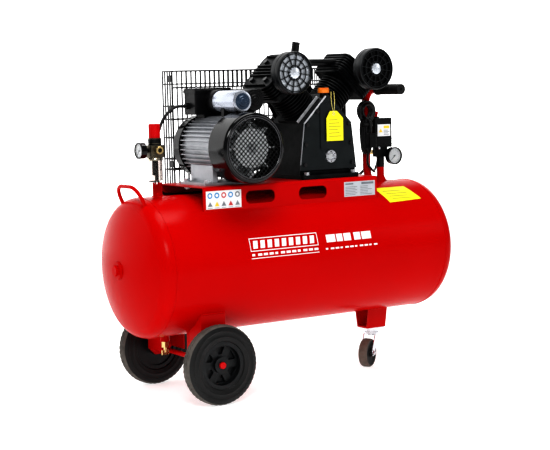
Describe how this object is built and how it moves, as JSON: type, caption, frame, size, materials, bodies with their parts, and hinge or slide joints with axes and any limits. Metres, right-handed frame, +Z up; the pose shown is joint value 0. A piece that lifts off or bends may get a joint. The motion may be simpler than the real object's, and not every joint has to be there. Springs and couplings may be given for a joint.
{
  "type": "wheelbarrow air compressor",
  "caption": "Wheeled air compressor: a red horizontal tank carrying a belt-driven V-twin pump, an electric motor, a wire belt guard, a regulator and a pressure switch.",
  "frame": {"origin": "on the floor under the middle of the bounding box", "axes": "+X along the tank towards the caster, +Y towards the belt guard, +Z up"},
  "size_m": [1.0295, 0.3934, 0.9368],
  "materials": {
    "red_paint": "gloss",
    "black_cast": "satin",
    "black_paint": "gloss",
    "aluminium": "satin",
    "steel": "satin",
    "zinc": "satin",
    "brass": "satin",
    "rubber": "matte",
    "tyre": "matte",
    "black_plastic": "gloss",
    "matte_black": "matte",
    "red_plastic": "gloss",
    "orange_plastic": "gloss",
    "yellow_card": "matte",
    "clear_bowl": "clear",
    "capacitor_case": "satin"
  },
  "bodies": {
    "root": {"tank_shell": "red_paint", "tank_domes": "red_paint", "tank_sockets": "red_paint", "deck_plate": "red_paint", "wheel_brackets": "red_paint", "axle_bar": "red_paint", "axle_caps": "red_plastic", "caster_plate": "zinc", "carry_handle": "red_paint", "push_handle": "red_paint", "handle_grip": "rubber", "motor_housing": "aluminium", "motor_end_bell": "black_paint", "fan_cover": "black_paint", "motor_stator": "steel", "terminal_box": "black_plastic", "capacitors": "capacitor_case", "hex_bolts": "zinc", "crankcase": "black_cast", "crankcase_cover": "black_cast", "sight_glass": "zinc", "cylinders": "black_cast", "valve_plates": "steel", "cylinder_heads": "black_cast", "air_filters": "black_plastic", "air_pipes": "black_paint", "pistons": "aluminium", "crankshaft": "steel", "v_belt": "rubber", "guard_front": "black_paint", "guard_rear": "black_paint", "switch_manifold": "zinc", "switch_cover": "black_plastic", "gauges": "black_plastic", "brass_valves": "brass", "regulator_body": "brass", "regulator_bowl": "clear_bowl", "cable_glands": "matte_black", "motor_lead": "rubber", "mains_lead": "rubber", "mains_hank": "rubber", "mains_plug": "matte_black"},
    "front_wheel": {"front_tyre": "tyre", "front_rim": "matte_black"},
    "rear_wheel": {"rear_tyre": "tyre", "rear_rim": "matte_black"},
    "caster": {"caster_fork": "zinc"},
    "caster_roller": {"caster_wheel": "rubber"},
    "flywheel": {"flywheel": "black_cast"},
    "rotor": {"motor_rotor": "steel", "motor_fan": "matte_black", "motor_pulley": "black_cast"},
    "regulator_knob": {"regulator_knob": "red_plastic"},
    "switch_button": {"switch_button": "red_plastic"},
    "safety_ring": {"safety_ring": "steel"},
    "drain_screw": {"drain_screw": "brass"},
    "tank_needle": {"tank_needle": "black_plastic"},
    "outlet_needle": {"outlet_needle": "black_plastic"},
    "oil_cap": {"oil_cap": "orange_plastic"},
    "oil_tag": {"oil_tag": "yellow_card"}
  },
  "joints": [
    {"name": "front_wheel_spin", "type": "hinge", "parent": "root", "child": "front_wheel", "pos_m": [-0.30825, -0.17, 0.1047], "axis": [0, 1, 0], "continuous": true},
    {"name": "rear_wheel_spin", "type": "hinge", "parent": "root", "child": "rear_wheel", "pos_m": [-0.30825, 0.17, 0.1047], "axis": [0, 1, 0], "continuous": true},
    {"name": "caster_swivel", "type": "hinge", "parent": "root", "child": "caster", "pos_m": [0.31375, 0, 0.0965], "axis": [0, 0, 1], "continuous": true},
    {"name": "caster_spin", "type": "hinge", "parent": "caster", "child": "caster_roller", "pos_m": [0.28546, -0.017, 0.041], "axis": [0.515, -0.8572, 0], "continuous": true},
    {"name": "flywheel_spin", "type": "hinge", "parent": "root", "child": "flywheel", "pos_m": [0.11275, 0.143, 0.706], "axis": [0, 1, 0], "continuous": true},
    {"name": "rotor_spin", "type": "hinge", "parent": "root", "child": "rotor", "pos_m": [-0.18725, 0.143, 0.658], "axis": [0, 1, 0], "continuous": true},
    {"name": "regulator_turn", "type": "hinge", "parent": "root", "child": "regulator_knob", "pos_m": [-0.40025, -0.03, 0.709], "axis": [0, 0, 1], "range_deg": [-180, 540]},
    {"name": "switch_pull", "type": "slide", "parent": "root", "child": "switch_button", "axis": [0, 0, 1], "range_m": [0, 0.006]},
    {"name": "safety_pull", "type": "slide", "parent": "root", "child": "safety_ring", "axis": [0, 1, 0], "range_m": [0, 0.003], "stiffness_N_per_m": 400},
    {"name": "drain_turn", "type": "hinge", "parent": "root", "child": "drain_screw", "pos_m": [-0.37125, 0, 0.12], "axis": [0, 0, 1], "range_deg": [0, 540]},
    {"name": "tank_gauge_reading", "type": "hinge", "parent": "root", "child": "tank_needle", "pos_m": [0.39475, -0.022, 0.606], "axis": [0, 1, 0], "range_deg": [0, 270], "stiffness_Nm_per_rad": 0.0002},
    {"name": "outlet_gauge_reading", "type": "hinge", "parent": "root", "child": "outlet_needle", "pos_m": [-0.44925, -0.03, 0.659], "axis": [1, 0, 0], "range_deg": [0, 270], "stiffness_Nm_per_rad": 0.0002},
    {"name": "oil_cap_lift", "type": "slide", "parent": "root", "child": "oil_cap", "axis": [0, 0, 1], "range_m": [0, 0.015]},
    {"name": "oil_tag_swing", "type": "hinge", "parent": "oil_cap", "child": "oil_tag", "pos_m": [0.12975, -0.0865, 0.797], "axis": [0, 1, 0], "range_deg": [-35, 35]}
  ],
  "couplings": [
    {"joint": "rotor_spin", "follows": "flywheel_spin", "ratio": 4.0448}
  ]
}
